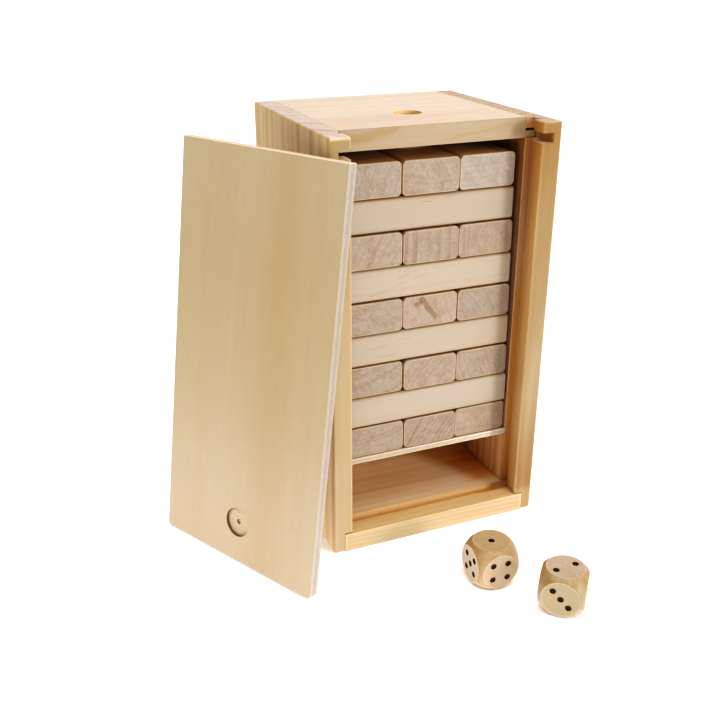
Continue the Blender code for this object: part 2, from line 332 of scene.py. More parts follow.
def solid_wood(name, grain, early, late, end, warm, pith, ring, contrast, tone, seed, waviness=0.0015,
               fibre=0.10, streaks=0.0, roughness=0.55, centre=(0, 0, 0), half=None, rim=None,
               rim_width=BLOCK_RIM, rim_share=0.6, marks=(), mark_colour=None, speckle=0.16,
               ring_soft=0.45, ring_end=0.92, warmed=None, calm=0.0, beside=None, saw=45.0,
               round_off=None, bore=None, zones=(), bump=0.35):
    """Wood cut from a log: growth rings about a pith line along the grain.

    grain is the axis of the fibres; pith is the ring centre in the other two axes, in
    X, Y, Z order.  early and late are the two parts of a ring, end the cut ends, warm the
    tone of broad patches.  marks are stains on the front face: (x, z, length, thickness,
    angle, strength).  warmed turns the wood to its warm tone along the grain: (from, to,
    share).  calm is how much plainer the grain is on the faces that look to the front.
    beside is a factor of painted shade for all faces but those and the ends.  saw is the direction of the
    saw's marks on the ends, in degrees.  round_off is (distance from the centre, factor)
    for tumbled corners.  bore is (x, y, radius, colour) for the wall of an upright hole.
    rim is the colour of the box's worn edges; half and centre say where that box is.
    """
    g = Finish(name)
    x, y, z = g.split(g.point)
    along, u, v = {"X": (x, y, z), "Y": (y, x, z), "Z": (z, x, y)}[grain]
    shift = 7.31 * (seed + 1)

    def stretched(cross, length):
        return g.joined(g.math("MULTIPLY_ADD", u, cross, shift), g.times(v, cross),
                        g.times(along, length))

    drift = g.vector("SUBTRACT", g.noise(stretched(*DRIFT), output="Color"), (0.5,) * 3)
    wander = g.vector("ADD", g.joined(u, v, 0.0), g.scaled(drift, waviness * 4))
    offset = g.vector("SUBTRACT", wander, (pith[0], pith[1], 0.0))
    radius = g.vector("LENGTH", g.vector("MULTIPLY", offset, (1.0, 1.0, 0.0)))
    turn = g.math("DIVIDE", radius, ring)
    uneven = g.noise(g.joined(g.times(turn, 0.45), shift, 0.0), detail=1.0)
    turn = g.plus(turn, g.times(uneven, 1.6))
    share = g.math("FRACT", turn)
    each = g.ease(g.chance(g.math("FLOOR", turn)), 0.0, 1.0, 0.25, 1.0)
    rise = g.ease(share, ring_soft, ring_end - 0.02)
    fall = g.ease(share, ring_end, 1.0, 1.0, 0.0)
    latewood = g.times(g.times(rise, fall), each)

    fine = g.noise(stretched(*FIBRES), detail=3.0, roughness=0.6)
    middle = g.noise(stretched(*BUNDLES))
    cloud = g.noise(stretched(*CLOUDS))
    streak_noise = g.noise(stretched(*STREAK_GRAIN), detail=3.0, roughness=0.6)
    grit = g.noise(g.scaled(g.point, GRIT), roughness=0.7)

    body = g.mix(g.ease(cloud, 0.40, 0.70, 0.0, tone), early, warm)
    if warmed is not None:
        start, stop, most = warmed
        body = g.mix(g.ease(along, start, stop, 0.0, most), body, warm)
    darkening = tuple(dark / light for dark, light in zip(late, early))
    rings = g.times(latewood, contrast)
    if streaks:
        rings = g.plus(rings, g.ease(streak_noise, 0.50, 0.72, 0.0, streaks), clamp=True)
    toward = g.split(g.normal)
    facing_front = g.ease(g.times(toward[1], -1.0), 0.60, 0.90)
    if calm:
        rings = g.times(rings, g.math("MULTIPLY_ADD", facing_front, -calm, 1.0))
    body = g.tint(body, rings, darkening)
    body = g.scaled(body, g.plus(g.swing(fine, fibre, 1.0), g.swing(middle, fibre)))

    endness = g.ease(g.math("ABSOLUTE", toward["XYZ".index(grain)]), 0.55, 0.92)
    cut_dark = tuple(c * share for c, share in zip(end, (0.80, 0.70, 0.65)))
    cut_end = g.mix(g.times(latewood, min(1.0, contrast * 1.3)), end, cut_dark)
    cosine, sine = math.cos(math.radians(saw)), math.sin(math.radians(saw))
    along_mark, across_mark = SAW_MARKS
    run = g.vector("DOT_PRODUCT", g.joined(u, v, 0.0), (cosine * along_mark, sine * along_mark, 0.0))
    step = g.vector("DOT_PRODUCT", g.joined(u, v, 0.0), (-sine * across_mark, cosine * across_mark, 0.0))
    hatch = g.noise(g.joined(run, step, shift), detail=3.0, roughness=0.7)
    mottle = g.noise(g.scaled(g.point, MOTTLE), detail=4.0, roughness=0.75)
    patch = g.noise(g.vector("ADD", g.scaled(g.point, PATCHES), (shift, 0.0, 0.0)))
    grain_dots = g.plus(g.swing(grit, speckle, 1.0), g.swing(mottle, speckle * 2.4))
    grain_dots = g.plus(grain_dots, g.swing(hatch, speckle * 3.0))
    cut_end = g.scaled(cut_end, grain_dots)
    patchy = g.ease(patch, 0.38, 0.68, 0.0, min(1.0, speckle * 3.5))
    cut_end = g.vector("MULTIPLY", cut_end, g.mix(patchy, (1.02, 1.03, 1.04), (0.92, 0.88, 0.84)))
    colour = g.mix(endness, body, cut_end)

    # painted shade on the faces that look neither to the front nor along the grain
    if beside is not None:
        not_front, not_end = (g.minus(1.0, share) for share in (facing_front, endness))
        colour = g.tint(colour, g.times(not_front, not_end), beside)
    if round_off is not None:
        reach, factor = round_off
        away = g.vector("LENGTH", g.point)
        corner = g.ease(away, reach * 0.990, reach * 0.999)
        corner = g.times(corner, g.ease(streak_noise, 0.38, 0.60, 0.45, 1.25))
        colour = g.tint(colour, corner, factor)
        off_rim = g.math("ABSOLUTE", g.minus(away, reach * 0.985))
        colour = g.tint(colour, g.ease(off_rim, 0.00004, 0.00020, 1.0, 0.0), (1.30, 1.34, 1.42))
    colour = tinted(g, colour, zones)
    if bore is not None:
        bore_x, bore_y, bore_radius, bore_colour = bore
        aside = g.vector("LENGTH", g.vector("SUBTRACT", g.joined(x, y, 0.0), (bore_x, bore_y, 0.0)))
        inside = g.ease(aside, bore_radius + NUDGE, bore_radius + SKIN_FADE, 1.0, 0.0)
        colour = g.mix(inside, colour, bore_colour)
    if rim is not None:
        near = g.ease(edge_distance(g, centre, half), rim_width * 0.25, rim_width, rim_share, 0.0)
        colour = g.mix(near, colour, rim)
    for place_x, place_z, length, thickness, angle, strength in marks:
        mask = streak(g, x, z, (place_x, place_z), length, thickness, angle)
        mask = g.times(mask, facing_front)
        colour = g.tint(colour, g.times(mask, strength), mark_colour)

    gloss = g.swing(middle, 0.16, roughness)
    gloss = g.plus(gloss, g.times(endness, 0.12))
    height = g.plus(g.times(fine, g.minus(1.0, endness)), g.times(grit, endness))
    height = g.plus(height, g.times(latewood, 0.15))
    return g.finish(colour, gloss, g.bump(height, GRAIN_DEPTH, bump))


def plywood(name, thin, along, low, high, face, warm, plies, seed, tone=0.35, glue_share=0.75,
            ply_edges=(0.33, 0.67), mottle=0.30, band=None, recess=None, zones=()):
    """Three-ply sheet: thin is the axis across its thickness, along the face plies' grain.

    plies are the edge colours from low to high, ply_edges the glue lines between them and
    mottle their unevenness.  band is a warmer band in the face: (middle, half its width,
    share), measured across the grain.  recess is a round hollow down to the crossed middle
    ply: (across, along, radius, depth, bottom, wall).
    """
    g = Finish(name)
    axes = dict(zip("XYZ", g.split(g.point)))
    facing = dict(zip("XYZ", g.split(g.normal)))
    across = next(axis for axis in "XYZ" if axis not in (thin, along))
    shift = 3.17 * (seed + 1)

    def stretched(cross, length):
        return g.joined(g.math("MULTIPLY_ADD", axes[across], cross, shift),
                        g.times(axes[thin], cross),
                        g.times(axes[along], length))

    cloud = g.noise(stretched(*SHEET_CLOUDS))
    stripe = g.noise(stretched(*SHEET_STRIPES))
    fine = g.noise(stretched(*SHEET_FIBRES), detail=3.0, roughness=0.6)
    blotch = g.noise(stretched(*SHEET_BLOTCHES), detail=3.0, roughness=0.6)
    surface = g.mix(g.ease(cloud, 0.42, 0.66, 0.0, tone), face, warm)
    if band is not None:
        middle, half_width, most = band
        off = g.math("ABSOLUTE", g.minus(axes[across], middle))
        off = g.plus(off, g.swing(cloud, 0.016))
        surface = g.mix(g.ease(off, 0.0, half_width, most, 0.0), surface, warm)
    uneven = g.plus(g.swing(stripe, 0.07, 1.0), g.swing(fine, 0.07))
    surface = g.scaled(surface, g.plus(uneven, g.swing(blotch, 0.07)))
    depth = g.math("DIVIDE", g.minus(axes[thin], low), high - low)
    if recess is not None:
        recess_across, recess_along, recess_radius, cut, cut_colour, shaded_wall_colour = recess
        aside = g.vector("LENGTH", g.joined(g.minus(axes[across], recess_across),
                                            g.minus(axes[along], recess_along), 0.0))
        hollow = g.math("LESS_THAN", aside, recess_radius + 0.00015)
        crossed = g.noise(g.joined(g.times(axes[across], 90.0), shift,
                                   g.times(axes[along], 1500.0)), detail=3.0, roughness=0.65)
        bottom = g.scaled(g.joined(*cut_colour), g.swing(crossed, 0.7, 1.0))
        sunk = g.math("GREATER_THAN", axes[thin], low + cut * 0.6)
        above = g.math("LESS_THAN", axes[thin], high - cut * 0.6)
        surface = g.mix(g.times(hollow, g.times(sunk, above)), surface, bottom)
    wave = g.noise(g.joined(g.times(axes[across], 160.0), shift,
                            g.times(axes[along], 160.0)))
    depth = g.plus(depth, g.swing(wave, 0.05))
    first = g.ease(depth, ply_edges[0] - 0.01, ply_edges[0] + 0.01)
    second = g.ease(depth, ply_edges[1] - 0.01, ply_edges[1] + 0.01)
    layers = g.mix(second, g.mix(first, plies[0], plies[1]), plies[2])
    pores = g.noise(g.scaled(g.point, 1500.0), detail=3.0, roughness=0.7)
    layers = g.scaled(layers, g.swing(pores, mottle, 1.0))
    glue = g.math("MAXIMUM", *(
        g.ease(g.math("ABSOLUTE", g.minus(depth, line)), 0.008, 0.030, 1.0, 0.0)
        for line in ply_edges))
    broken = g.ease(g.noise(g.scaled(g.point, 260.0)), 0.42, 0.60)
    layers = g.mix(g.times(glue, g.times(broken, glue_share)), layers,
                   tuple(c * 0.28 for c in plies[1]))
    if recess is not None:
        layers = g.mix(hollow, layers, shaded_wall_colour)
    flat = g.ease(g.math("ABSOLUTE", facing[thin]), 0.60, 0.85)
    colour = tinted(g, g.mix(flat, layers, surface), zones)
    gloss = g.swing(stripe, 0.14, 0.53)
    return g.finish(colour, gloss, g.bump(g.plus(fine, pores), SHEET_GRAIN_DEPTH, 0.3))


def paint(name, colour, roughness):
    """Thin matt paint that has dried unevenly."""
    g = Finish(name)
    cloud = g.noise(g.scaled(g.point, 1800.0))
    uneven = g.scaled(g.joined(*colour), g.swing(cloud, 0.8, 1.0))
    return g.finish(uneven, g.swing(cloud, 0.2, roughness), specular=0.25)


# ---- pieces
def mesh_of(bm, name):
    """Turn a bmesh into a mesh and let go of it."""
    mesh = bpy.data.meshes.new(f"{name}_finished")
    bm.to_mesh(mesh)
    bm.free()
    return mesh


def link(made):
    """Put an object into the scene."""
    bpy.context.scene.collection.objects.link(made)
    return made


def place_piece(node, mesh, finish, matrix=None):
    """Link a mesh as the visible piece that stands for a CAD node, on that node's body."""
    made = link(bpy.data.objects.new(f"{node}_finished", mesh))
    if matrix is not None:
        made.matrix_world = matrix
    mesh.materials.append(finish)
    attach(made, frame["nodes"][node]["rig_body"])
    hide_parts(node)
    return made


def even_normals(piece):
    """Keep flat faces flat where they run into rounded edges."""
    piece.data.shade_smooth()
    piece.data.set_sharp_from_angle(angle=SMOOTH_ANGLE)
    piece.modifiers.new("even_normals", "WEIGHTED_NORMAL").keep_sharp = True


def joint_of(node):
    return next(joint for joint in frame["joints"] if joint["child"] == node)


def on_plane(edge, axis, value):
    return all(abs(vert.co[axis] - value) < PLANE_TOLERANCE for vert in edge.verts)


def softened_board(node, finish, width=CASE_ARRIS, seams=(), glued=(), worn=None):
    """A board of the case with its edges rounded: outer edges most, glued seams least.

    seams are tests that say whether an edge is flush with a neighbour.  glued are the
    faces that a glue line closes: (axis, distance from the origin, way to the neighbour).
    worn is a test for edges that years of use have rounded more.
    """
    low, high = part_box(node)
    bm = bmesh.new()
    bm.from_mesh(frame["nodes"][node].data)
    bmesh.ops.remove_doubles(bm, verts=bm.verts, dist=PLANE_TOLERANCE / 4)
    bmesh.ops.dissolve_limit(bm, angle_limit=math.radians(1.0), verts=bm.verts, edges=bm.edges)
    for axis, distance, way in glued:
        for vert in bm.verts:
            if abs(abs(vert.co[axis]) - distance) < PLANE_TOLERANCE:
                vert.co[axis] += math.copysign(way * (GLUE_GAP - GLUE_LINE), vert.co[axis])
    weight = bm.edges.layers.float.new("bevel_weight_edge")
    planes = [(axis, corner[axis]) for axis in range(3) for corner in (low, high)]
    for edge in bm.edges:
        if not edge.is_manifold or edge.calc_face_angle_signed() < ROUNDED_ANGLE:
            continue
        outer = sum(on_plane(edge, axis, value) for axis, value in planes) >= 2
        edge[weight] = WORN_SHARE if outer else WORN_SHARE * EDGE_SHARE
        if worn is not None and worn(edge):
            edge[weight] = 1.0
        if any(is_seam(edge) for is_seam in seams):
            edge[weight] = WORN_SHARE * SEAM_SHARE
    piece = place_piece(node, mesh_of(bm, node), finish)
    rounding = piece.modifiers.new("rounding", "BEVEL")
    rounding.limit_method = "WEIGHT"
    rounding.width = width / WORN_SHARE
    rounding.segments = 3
    rounding.use_clamp_overlap = True
    even_normals(piece)


def rounded_block(size, grain):
    """A block centred on its origin, long edges rounded and end edges eased."""
    axis = "XYZ".index(grain)
    bm = bmesh.new()
    bmesh.ops.create_cube(bm, size=1.0)
    bmesh.ops.scale(bm, vec=size, verts=bm.verts)
    long_edges = [edge for edge in bm.edges
                  if abs(edge.verts[0].co[axis] - edge.verts[1].co[axis]) > size[axis] / 2]
    bmesh.ops.bevel(bm, geom=long_edges, offset=BLOCK_ROUND, segments=7, profile=0.5, affect="EDGES")
    end_edges = [edge for edge in bm.edges
                 if all(abs(vert.co[axis]) > size[axis] / 2 - PLANE_TOLERANCE for vert in edge.verts)]
    bmesh.ops.bevel(bm, geom=end_edges, offset=BLOCK_EASE, segments=3, profile=0.5, affect="EDGES")
    bmesh.ops.recalc_face_normals(bm, faces=bm.faces)
    return mesh_of(bm, "block")


# ---- the case
WALL = -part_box("left_side")[1].x         # inner face of the right side; the left's is mirrored
TOP_LOW, TOP_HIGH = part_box("top_panel")
BOTTOM_LOW, BOTTOM_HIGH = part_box("bottom_panel")
SHELF_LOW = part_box("shelf")[0]
FRONT = BOTTOM_LOW.y                     # plane of the case's front
SEAM_REACH = 0.001                       # how near an edge is to the seam that it belongs to
CASE_RIM = 0.0012                        # width of the paler wood along worn edges
CASE_RIM_SHARE = 0.16
CASE_RIM_TONE = shade(226, 200, 160)


def top_seam(edge):
    """Top ends of the sides against the top panel, and that panel's own ends."""
    beside = all(abs(abs(vert.co.x) - WALL) < SEAM_REACH for vert in edge.verts)
    behind = min(vert.co.y for vert in edge.verts) > TOP_LOW.y - SEAM_REACH
    return beside and behind and on_plane(edge, 2, TOP_HIGH.z)


def foot_seam(edge):
    """Bottom panel's ends and the sides' steps around them."""
    return all(abs(abs(vert.co.x) - BOTTOM_HIGH.x) < SEAM_REACH and vert.co.z < BOTTOM_HIGH.z + SEAM_REACH
               for vert in edge.verts)


SEAMS = (top_seam, foot_seam)


def handled(edge):
    """Front edge at the head of a side."""
    return on_plane(edge, 1, FRONT) and on_plane(edge, 2, TOP_HIGH.z)


def worn_edges(node):
    low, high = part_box(node)
    return {"centre": (low + high) / 2, "half": (high - low) / 2, "rim": CASE_RIM_TONE,
            "rim_width": CASE_RIM, "rim_share": CASE_RIM_SHARE}


def front_shading(factor, front=FRONT, z=ALL, z_fade=SKIN_FADE):
    """Zone of painted light and shade on the faces that lie in the plane of a front."""
    return zone(factor, y=(-FAR, front + SKIN), z=z, fade=(SKIN_FADE, SKIN_FADE, z_fade))


def inner_face_shading(hand):
    """Zones of painted light and shade on the inner face of a side, from front to back; hand is -1 for the
    left.
    """
    face = sorted((hand * (WALL - 0.001), hand * (WALL + FACE_REACH)))
    strip = (FRONT + SKIN_FADE, GROOVE[0] + NUDGE)
    land = (GROOVE[1] - NUDGE, GROOVE[1] + FACE_REACH)
    wall = (GROOVE[1] + FACE_REACH, TOP_HIGH.y)
    # painted shade on the strip, the land and the wall behind the blocks; painted light on the wall below
    # the shelf
    return (zone((0.90, 0.90, 0.84), face, strip, (0.0, FAR)),
            zone((0.80, 0.84, 0.98), face, land, (0.0, FAR)),
            zone((1.16, 1.12, 1.20), face, wall, (0.0, SHELF_LOW.z)),
            zone((0.63, 0.56, 0.72), face, wall, (SHELF_LOW.z, TOP_LOW.z)))


def groove_shading(hand):
    """Painted shade in the lid groove of a side along its whole length, then painted light on its upper
    part.
    """
    face = sorted((hand * (WALL + 2 * NUDGE), hand * (WALL + GROOVE_DEPTH)))
    width = (GROOVE[0], GROOVE[1] + 2 * NUDGE)
    return (zone((0.96, 0.77, 0.53), face, width, (BOTTOM_HIGH.z - 0.003, TOP_HIGH.z - 0.002)),
            zone((0.97, 1.15, 2.00), face, width, (0.08, FAR), (*FADE[:2], 0.06)))


def build_sides():
    """The two pine sides, with the photo's tones on their fronts, inner faces and lid grooves painted as
    light and shade.
    """
    head, head_fade = (0.10, FAR), 0.05  # painted shade on the left side's upper part
    # painted light on the front strip beside the foot of the lid, which shades it
    painted_light_by_lid = zone((1.14, 1.24, 1.45), (-FAR, -WALL - 0.0055), (-FAR, FRONT + SKIN), (-FAR, 0.05),
                  (0.003, SKIN_FADE, 0.02))
    shaded_head_behind_front = zone((0.86, 0.86, 0.80), y=(FRONT + SKIN, FAR), z=head,
                        fade=(SKIN_FADE, SKIN_FADE, head_fade))
    left = solid_wood("pine_left", "Z", shade(204, 176, 136), shade(172, 128, 82), shade(213, 197, 190),
                      warm=shade(202, 160, 108), pith=(-0.115, -0.105), ring=0.0060, contrast=0.75,
                      tone=0.5, streaks=0.25, ring_soft=0.10, ring_end=0.70, calm=0.85, seed=1,
                      # painted shade on the whole front, and more of it on the upper part of the front and
                      # of the sides
                      zones=[front_shading((0.60, 0.61, 0.62)), *groove_shading(-1), *inner_face_shading(-1), painted_light_by_lid,
                             front_shading((0.84, 0.82, 0.72), z=head, z_fade=head_fade), shaded_head_behind_front],
                      **worn_edges("left_side"))
    softened_board("left_side", left, seams=SEAMS,
                   glued=((2, BOTTOM_HIGH.z + GLUE_GAP, -1),), worn=handled)
    # painted light on the right strip's front beside the groove
    painted_light_by_groove = zone((1.18, 1.22, 1.34), (WALL, WALL + 0.006), (-FAR, FRONT + SKIN), (-FAR, 0.09),
                     (0.003, SKIN_FADE, 0.05))
    right = solid_wood("pine_right", "Z", shade(198, 170, 136), shade(154, 110, 68), shade(186, 164, 144),
                       warm=shade(180, 134, 77), pith=(0.13, -0.16), ring=0.0050, contrast=0.6,
                       tone=0.45, streaks=0.55, ring_soft=0.10, ring_end=0.72, calm=0.7, seed=2,
                       warmed=(0.10, 0.175, 0.92),
                       # painted shade on the front, darker and warmer below 75 mm, and painted light at its
                       # foot
                       zones=[front_shading((0.50, 0.51, 0.47)), *groove_shading(1), *inner_face_shading(1), painted_light_by_groove,
                              front_shading((0.78, 0.58, 0.37), z=(-FAR, 0.075), z_fade=0.06),
                              front_shading((1.28, 1.50, 1.90), z=(-FAR, 0.013), z_fade=0.004)],
                       **worn_edges("right_side"))
    softened_board("right_side", right, seams=SEAMS)


def build_top():
    """The top panel, with the hole in it and two brown marks on its front edge."""
    middle = (TOP_LOW.z + TOP_HIGH.z) / 2
    upper = solid_wood("pine_top", "X", shade(212, 199, 183), shade(198, 162, 126), shade(190, 166, 144),
                       warm=shade(208, 182, 150), pith=(-0.02, 0.34), ring=0.0042, contrast=0.45,
                       tone=0.35, streaks=0.25, fibre=0.08, seed=3,
                       # painted shade on the front edge
                       zones=[front_shading((0.485, 0.425, 0.34), front=TOP_LOW.y)],
                       # wall of the hole: cut pine, drawn pale as painted light on its far side
                       bore=(*TOP_HOLE, shade(238, 206, 158)),
                       marks=((-0.030, middle + 0.0010, 0.026, 0.0036, 12, 0.85),
                              (0.018, middle - 0.0004, 0.030, 0.0016, 8, 0.45)),
                       mark_colour=(0.93, 0.82, 0.66))
    softened_board("top_panel", upper, seams=SEAMS, glued=((0, WALL - GLUE_GAP, 1),))


def build_bottom():
    """The bottom panel: its lip, the trench for the lid's foot, and the floor behind it, with painted light
    and shadow on the floor and painted shade on its front.
    """
    trench_front, trench_back = (plane + NUDGE for plane in GROOVE)
    lip = zone((0.77, 0.80, 0.76), y=(-FAR, trench_front))
    trench = zone((0.90, 0.88, 0.80), y=(trench_front, trench_back))
    bed = zone((0.79, 0.87, 1.04), y=(trench_back, FAR))
    # painted light on the floor towards the back of the compartment
    deep = zone((1.60, 1.66, 1.72), (-FAR, 0.042), (-0.030, FAR), fade=(0.02, 0.035, FADE[2]))
    # painted shadow of the right side on the right of the floor
    corner = zone((0.92, 0.60, 0.32), (0.022, FAR), (GROOVE[1] + 0.002, 0.004),
                  fade=(0.012, 0.008, FADE[2]))
    # painted shadow of the right side on the right end of the trench
    end = zone((0.85, 0.62, 0.42), (WALL - 0.014, FAR), GROOVE, fade=(0.004, *FADE[1:]))
    lower = solid_wood("pine_bottom", "X", shade(228, 194, 154), shade(196, 150, 102), shade(190, 164, 140),
                       warm=shade(222, 182, 136), pith=(0.03, -0.10), ring=0.0017, contrast=0.26,
                       tone=0.3, streaks=0.36, ring_soft=0.2, ring_end=0.8, seed=4,
                       # the last zone is painted shade on the front
                       zones=[lip, trench, bed, deep, corner, end, front_shading((0.69, 0.73, 0.74))],
                       **worn_edges("bottom_panel"))
    softened_board("bottom_panel", lower, seams=SEAMS, glued=((0, BOTTOM_HIGH.x, 1),))


def build_sheet(node, slot, thin, along, seed, face, plies):
    """A plywood sheet of the case, with painted light below, along its front top edge and to the right."""
    low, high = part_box(node)
    axis = "XYZ".index(thin)
    front = low.y + SKIN
    painted_light_underside = zone((1.55, 1.50, 1.40), y=(front, FAR), z=(-FAR, low.z + SKIN))
    painted_light_top_edge = zone((1.25, 1.36, 1.52), y=(-FAR, low.y + 0.004), z=(high.z - 0.0006, FAR))
    painted_light_far_end = zone((1.34, 1.46, 1.62), (0.0, FAR), (-FAR, front), (low.z, FAR), (0.045, *FADE[1:]))
    sheet = plywood(slot, thin, along, low[axis], high[axis], face, tuple(c * 0.78 for c in face), plies,
                    seed, ply_edges=(0.24, 0.62), glue_share=0.35, mottle=0.75,
                    zones=[painted_light_underside, painted_light_top_edge, painted_light_far_end])
    softened_board(node, sheet, width=SHEET_ARRIS)


# ---- the blocks
# stains: x and z from the block's centre, length, thickness, angle, strength
STAINS = {
    "block_4_front": ((-0.024, 0.0012, 0.009, 0.0004, 4, 0.4), (-0.012, 0.0031, 0.006, 0.0004, 6, 0.3),
                      (-0.02, -0.0034, 0.01, 0.0004, 3, 0.35), (0.006, -0.0012, 0.007, 0.0004, 5, 0.25)),
    "block_5_middle": ((-0.001, 0.0014, 0.0104, 0.0023, -51, 0.9),
                       (-0.0056, 0.0038, 0.0016, 0.0021, 20, 0.8)),
    "block_6_front": ((-0.012, 0.0024, 0.005, 0.0005, 16, 0.5), (-0.004, 0.0016, 0.007, 0.0004, 14, 0.35),
                      (-0.023, -0.0036, 0.008, 0.0005, 10, 0.4), (-0.015, -0.001, 0.006, 0.0004, 16, 0.3)),
    "block_8_front": ((-0.002, 0.004, 0.004, 0.0004, 2, 0.45), (0.008, 0.0052, 0.008, 0.0004, 8, 0.35)),
}
STAIN = (0.66, 0.56, 0.48)               # factor of a stain at its full strength
# blocks drawn paler: painted light on block_9_right, where the light falls, and block_2_front a little
# paler
PALER = {"block_9_right": (1.15, 1.19, 1.23), "block_2_front": (1.06, 1.08, 1.11)}
RINGS_SHOW = {1: 2.4, 3: 2.4, 5: 1.5, 7: 1.7, 9: 1.2}     # how plainly, by layer
TOP_LAYER = 9
SHADED_SIDE = (0.94, 0.72, 0.54)         # painted shade on the long faces of the top layer, then of the others
BLOCK_SIDE_SHADE = (0.96, 0.82, 0.67)


def build_blocks():
    """Twenty-seven blocks, each of its own wood."""
    chance = random.Random(27)
    cream, pink = shade(159, 146, 130), shade(146, 131, 118)
    for node in sorted(name for name in frame["nodes"] if name.startswith("block_")):
        layer = int(node.split("_")[1])
        low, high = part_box(node)
        size = high - low
        grain = "X" if size.x > size.y else "Y"
        seed = chance.randint(0, 400)
        light = chance.uniform(0.95, 1.05)
        angle = chance.uniform(0, 2 * math.pi)
        away = chance.uniform(0.03, 0.12)
        ring = chance.uniform(0.0020, 0.0045)
        contrast = chance.uniform(0.10, 0.30) * RINGS_SHOW.get(layer, 1.0)
        if node == "block_7_middle":
            angle, away, ring, contrast = math.pi, 0.16, 0.0048, 1.0
        if grain == "X":
            contrast *= 0.5
        rosy = chance.uniform(0.97, 1.03)
        paler = PALER.get(node, PLAIN)
        early = tuple(c * light * more for c, more in zip(cream, paler))
        end = tuple(c * light * rose * more for c, rose, more in zip(pink, (rosy, 1.0, 1 / rosy), paler))
        wood = solid_wood(f"wood_{node}", grain, early, shade(148, 124, 98), end,
                          warm=shade(163, 140, 117), pith=(away * math.cos(angle), away * math.sin(angle)),
                          ring=ring, contrast=contrast, tone=0.3, seed=seed, waviness=0.0008, fibre=0.07,
                          roughness=0.62, half=size / 2, rim=shade(186, 166, 140),
                          marks=STAINS.get(node, ()), mark_colour=STAIN, ring_soft=0.25, speckle=0.26,
                          # painted shade on the long faces
                          beside=SHADED_SIDE if layer == TOP_LAYER else BLOCK_SIDE_SHADE,
                          saw=chance.uniform(20, 160))
        even_normals(place_piece(node, rounded_block(size, grain), wood,
                                 Matrix.Translation((low + high) / 2)))


# ---- the lid
def lid_frame():
    """Matrix of the lid's own axes: X along its foot, Y into it, Z up it, and its sizes."""
    joint = joint_of("lid")
    mesh = frame["nodes"]["lid"].data
    into = -max(mesh.polygons, key=lambda face: face.area * (face.normal.y < 0)).normal
    across = Vector(joint["axis"]).normalized()
    if across.x < 0:
        across = -across
    up = across.cross(into).normalized()
    basis = Matrix((across, into, up)).transposed().to_4x4()
    points = [basis.inverted() @ vert.co for vert in mesh.vertices]
    low = Vector([min(point[axis] for point in points) for axis in range(3)])
    high = Vector([max(point[axis] for point in points) for axis in range(3)])
    floor = [point - low for point in points if low.y + SKIN < point.y < high.y - SKIN]
    middle = sum(floor, Vector()) / len(floor)
    radius = max(math.hypot(point.x - middle.x, point.z - middle.z) for point in floor)
    return basis @ Matrix.Translation(low), high - low, (middle.x, middle.z, radius, middle.y)


def lid_outline(width, height, inset):
    """Corner-rounded outline of the lid, drawn inset from its edge."""
    points = []
    corners = ((0.0, 0.0), (width, 0.0), (width, height), (0.0, height))
    for quarter, ((x, z), radius) in enumerate(zip(corners, LID_CORNERS)):
        centre_x = x + (radius if x == 0.0 else -radius)
        centre_z = z + (radius if z == 0.0 else -radius)
        for step in range(CORNER_STEPS + 1):
            angle = math.pi + (quarter + step / CORNER_STEPS) * math.pi / 2
            reach = max(radius - inset, NUDGE)
            points.append((centre_x + reach * math.cos(angle), centre_z + reach * math.sin(angle)))
    return points


def circle(x, z, radius, sides):
    turns = (2 * math.pi * step / sides for step in range(sides))
    return [(x + radius * math.cos(turn), z + radius * math.sin(turn)) for turn in turns]


def ring_of(bm, outline, depth):
    return [bm.verts.new((x, depth, z)) for x, z in outline]


def bridge(bm, rings):
    """Faces between each ring of points and the next."""
    for first, second in zip(rings, rings[1:]):
        for here in range(len(first)):
            after = (here + 1) % len(first)
            bm.faces.new((first[here], first[after], second[after], second[here]))


